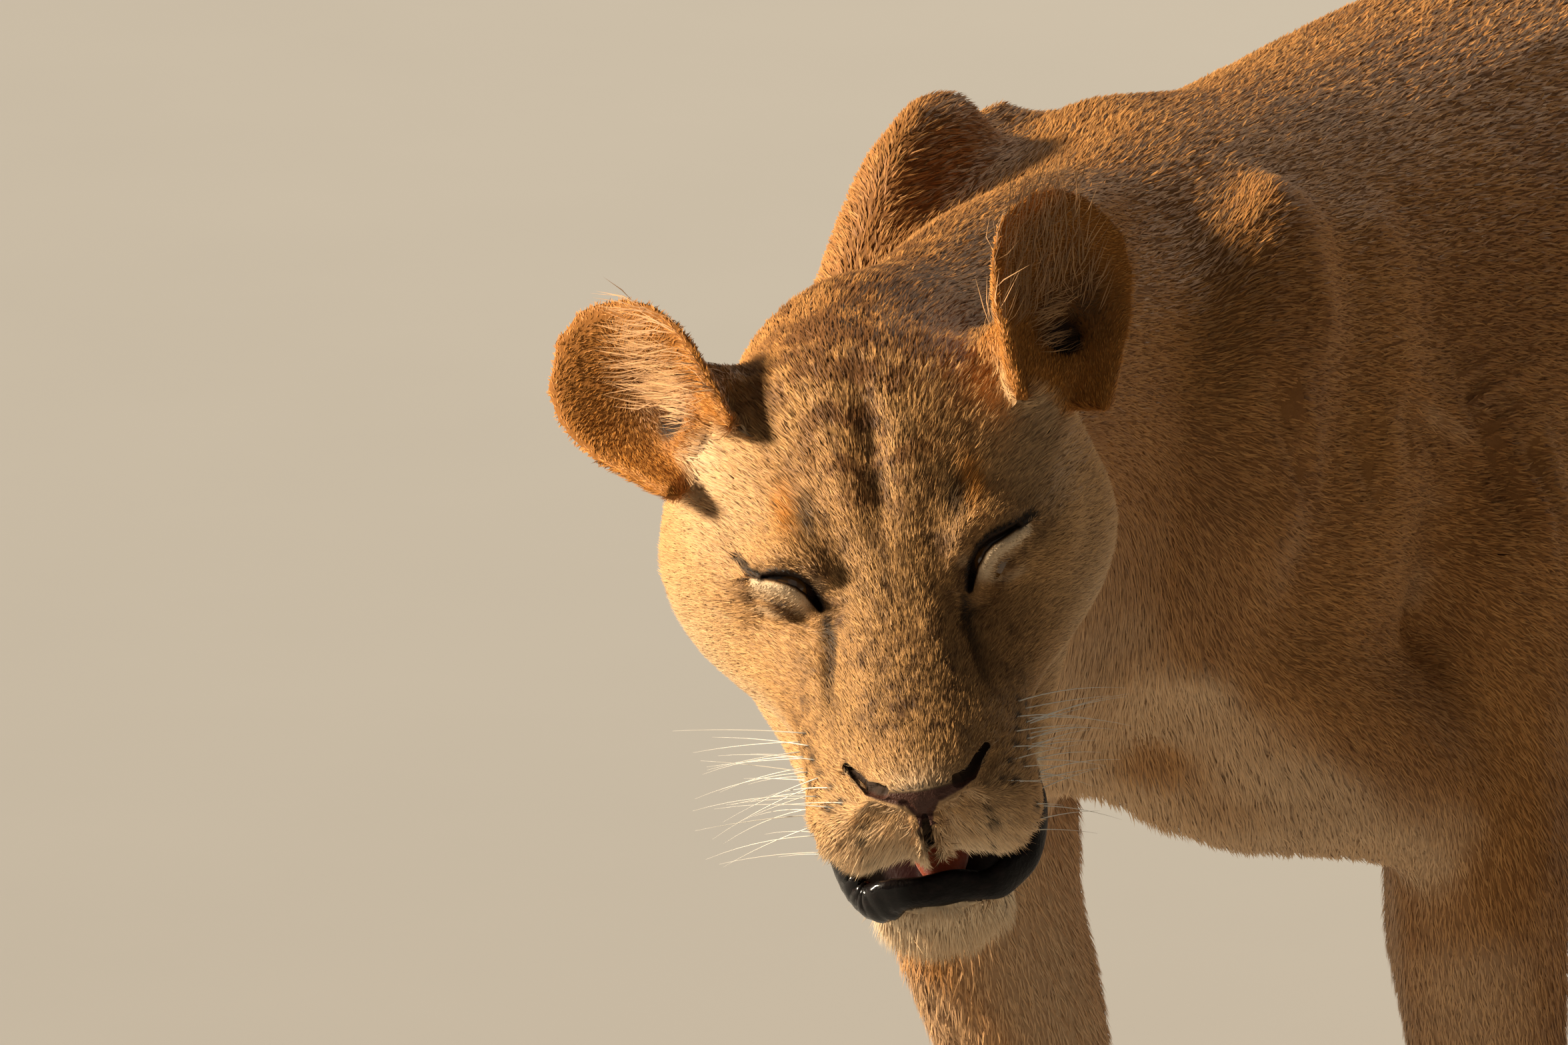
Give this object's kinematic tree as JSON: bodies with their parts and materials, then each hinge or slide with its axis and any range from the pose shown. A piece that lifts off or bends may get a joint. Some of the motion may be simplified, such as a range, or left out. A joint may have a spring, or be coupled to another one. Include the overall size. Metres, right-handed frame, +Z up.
{
  "type": "lioness model",
  "caption": "Life-size still model of a lioness in mid-stride, head lowered and turned to her left, eyes nearly closed and mouth a little open, as a museum shows.",
  "frame": {"origin": "on the floor under the middle of the bounding box", "axes": "+Z up, -Y the way her body faces, +X to her left; her head is turned about 36 degrees to her left"},
  "size_m": [0.4262, 1.9734, 0.9738],
  "materials": {
    "tawny_coat": "short tawny fur",
    "pale_coat": "short pale fur of chin, chest and feet",
    "black_hair": "long black-brown hair of the tail's tuft",
    "nose_leather": "moist, finely pebbled skin",
    "tongue_skin": "wet",
    "eye_amber": "polished, like a glass eye"
  },
  "bodies": {
    "root": {"ear_left": "tawny_coat", "ear_right": "tawny_coat", "eye_left": "eye_amber", "eye_right": "eye_amber", "foreleg_left": "tawny_coat", "foreleg_right": "tawny_coat", "forepaw_left": "pale_coat", "forepaw_right": "pale_coat", "head": "tawny_coat", "hindleg_left": "tawny_coat", "hindleg_right": "tawny_coat", "hindpaw_left": "pale_coat", "hindpaw_right": "pale_coat", "jaw": "pale_coat", "neck": "tawny_coat", "nose": "nose_leather", "tail": "tawny_coat", "tail_tuft": "black_hair", "tongue": "tongue_skin", "trunk": "tawny_coat"}
  },
  "joints": []
}
